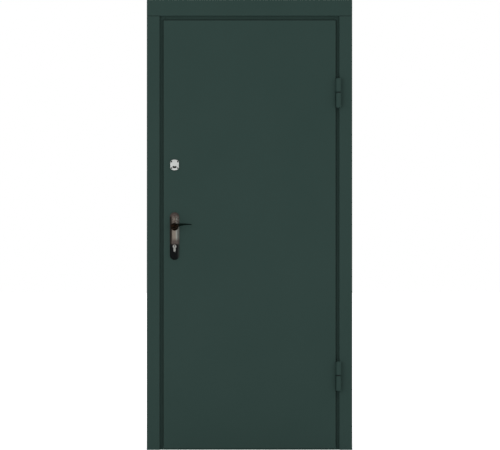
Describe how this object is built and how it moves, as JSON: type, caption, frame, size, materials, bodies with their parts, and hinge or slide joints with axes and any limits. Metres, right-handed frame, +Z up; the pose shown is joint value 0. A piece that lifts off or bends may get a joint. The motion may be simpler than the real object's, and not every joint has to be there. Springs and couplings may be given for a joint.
{
  "type": "entrance door",
  "caption": "Powder-coated steel entrance door in its bent-sheet frame with casings, hung on outside barrel hinges, with lever handle, cylinder lock and upper lock.",
  "frame": {"origin": "on the sill's underside at floor level, middle of the width, in the plane of the wall face behind the casings", "axes": "+X right seen from outside, +Y inward through the wall, +Z up"},
  "size_m": [0.96, 0.169, 2.105],
  "materials": {
    "door_paint": "satin",
    "rubber": "matte",
    "zinc_steel": "satin",
    "bright_steel": "satin",
    "oiled_steel": "satin",
    "bronze": "satin",
    "dark_bronze": "satin",
    "nickel": "satin",
    "chrome": "satin"
  },
  "bodies": {
    "frame": {"lock_jamb": "door_paint", "hinge_jamb": "door_paint", "frame_head": "door_paint", "sill": "door_paint", "lock_casing": "door_paint", "hinge_casing": "door_paint", "head_casing": "door_paint", "outer_seal": "rubber", "inner_seal": "rubber", "lower_frame_knuckle": "door_paint", "upper_frame_knuckle": "door_paint", "lower_hinge_pin": "oiled_steel", "upper_hinge_pin": "oiled_steel", "lower_bearing_ring": "oiled_steel", "upper_bearing_ring": "oiled_steel", "main_strike": "zinc_steel", "upper_strike": "zinc_steel"},
    "leaf": {"outer_skin": "door_paint", "inner_skin": "door_paint", "lock_stile": "door_paint", "hinge_stile": "door_paint", "bottom_rail": "door_paint", "top_rail": "door_paint", "lower_leaf_knuckle": "door_paint", "upper_leaf_knuckle": "door_paint", "main_lock": "zinc_steel", "upper_lock": "zinc_steel", "main_bolts": "bright_steel", "upper_bolts": "bright_steel", "latch": "bright_steel", "outside_plate": "bronze", "inside_plate": "bronze", "cylinder": "nickel", "outside_escutcheon": "chrome", "inside_escutcheon": "chrome"},
    "lever": {"outside_lever": "dark_bronze", "inside_lever": "dark_bronze", "spindle": "bright_steel"}
  },
  "joints": [
    {"name": "door_swing", "type": "hinge", "parent": "frame", "child": "leaf", "pos_m": [0.416, -0.032, 0], "axis": [0, 0, 1], "range_deg": [0, 170]},
    {"name": "lever_turn", "type": "hinge", "parent": "leaf", "child": "lever", "pos_m": [-0.35, 0.014, 1.043], "axis": [0, 1, 0], "range_deg": [0, 40], "stiffness_Nm_per_rad": 1.5, "springref_deg": -40.11}
  ]
}
